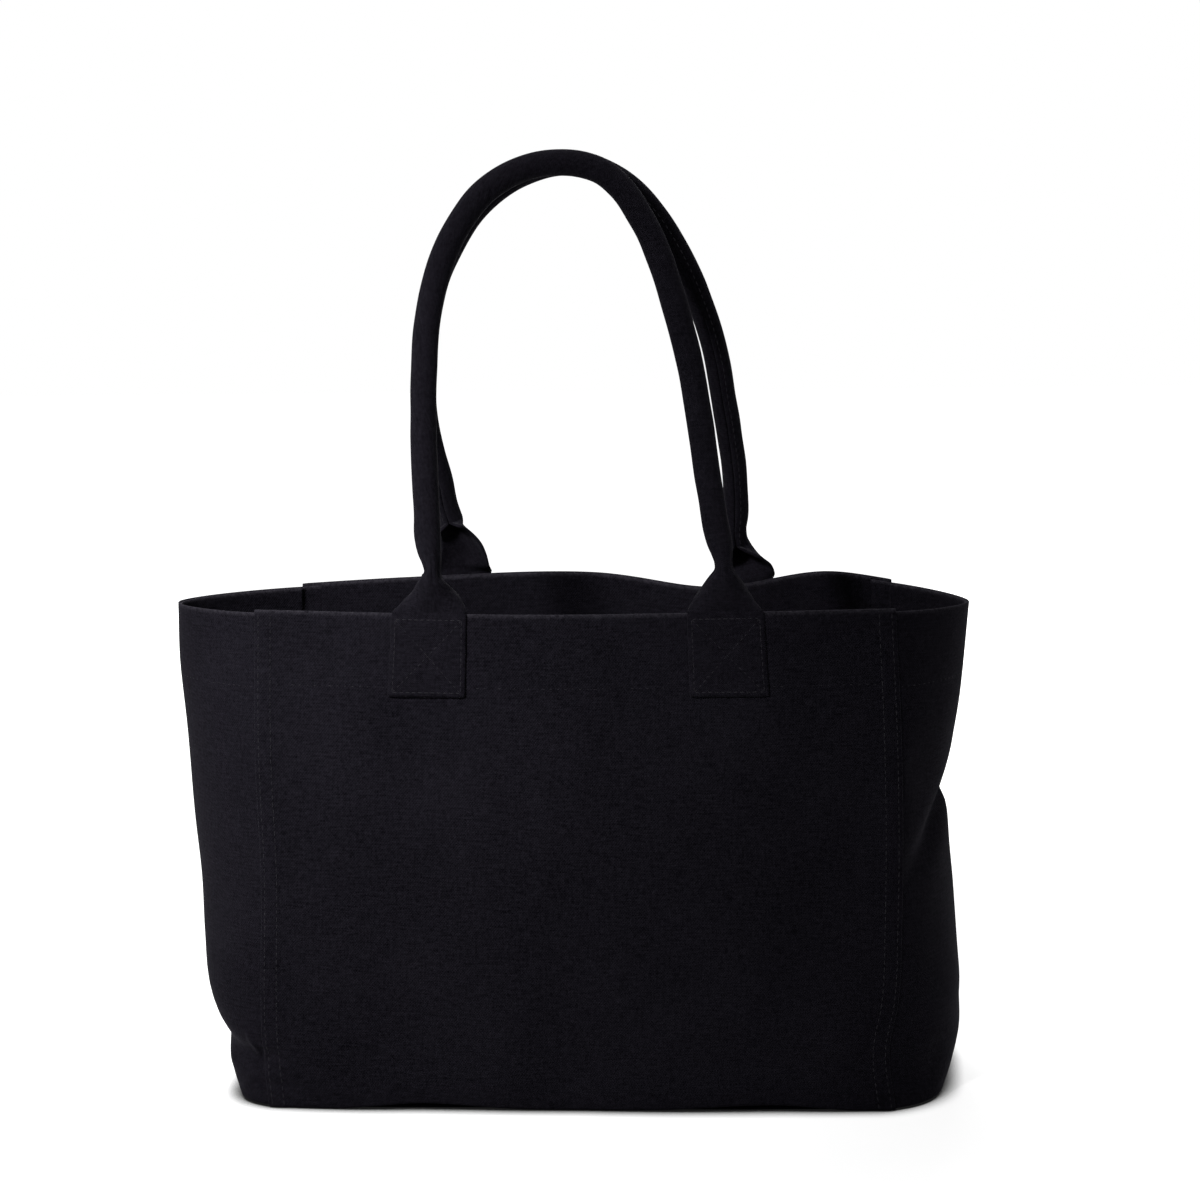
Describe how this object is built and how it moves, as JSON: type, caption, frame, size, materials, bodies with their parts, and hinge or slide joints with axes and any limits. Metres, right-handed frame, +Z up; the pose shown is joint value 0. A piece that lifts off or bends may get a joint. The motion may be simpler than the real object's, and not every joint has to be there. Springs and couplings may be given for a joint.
{
  "type": "canvas tote bag",
  "caption": "Open-topped canvas tote bag with outward-folded side gussets, a flat base, a faced rim and rolled carrying handles that swing on tabs sewn to the panels.",
  "frame": {"origin": "middle of the base panel's underside, on the surface that the bag stands on", "axes": "+X along the front panel to the right as seen from the front, +Y from the front panel to the back panel, +Z up"},
  "size_m": [0.5246, 0.1648, 0.6171],
  "materials": {
    "canvas": "matte plain-weave cotton canvas",
    "strap": "matte doubled canvas",
    "cord": "undyed twisted cotton cord"
  },
  "bodies": {
    "bag_body": {"front_panel": "canvas", "back_panel": "canvas", "base_panel": "canvas", "left_gusset": "canvas", "right_gusset": "canvas", "front_rim_facing": "canvas", "back_rim_facing": "canvas", "left_rim_facing": "canvas", "right_rim_facing": "canvas", "front_left_tab": "strap", "front_right_tab": "strap", "back_left_tab": "strap", "back_right_tab": "strap"},
    "front_handle": {"front_handle_cover": "strap", "front_handle_core": "cord"},
    "back_handle": {"back_handle_cover": "strap", "back_handle_core": "cord"}
  },
  "joints": [
    {"name": "front_handle_swing", "type": "hinge", "parent": "bag_body", "child": "front_handle", "pos_m": [0, -0.07237, 0.32589], "axis": [1, 0, 0], "range_deg": [0, 170]},
    {"name": "back_handle_swing", "type": "hinge", "parent": "bag_body", "child": "back_handle", "pos_m": [0, 0.07237, 0.32589], "axis": [-1, 0, 0], "range_deg": [0, 170]}
  ]
}
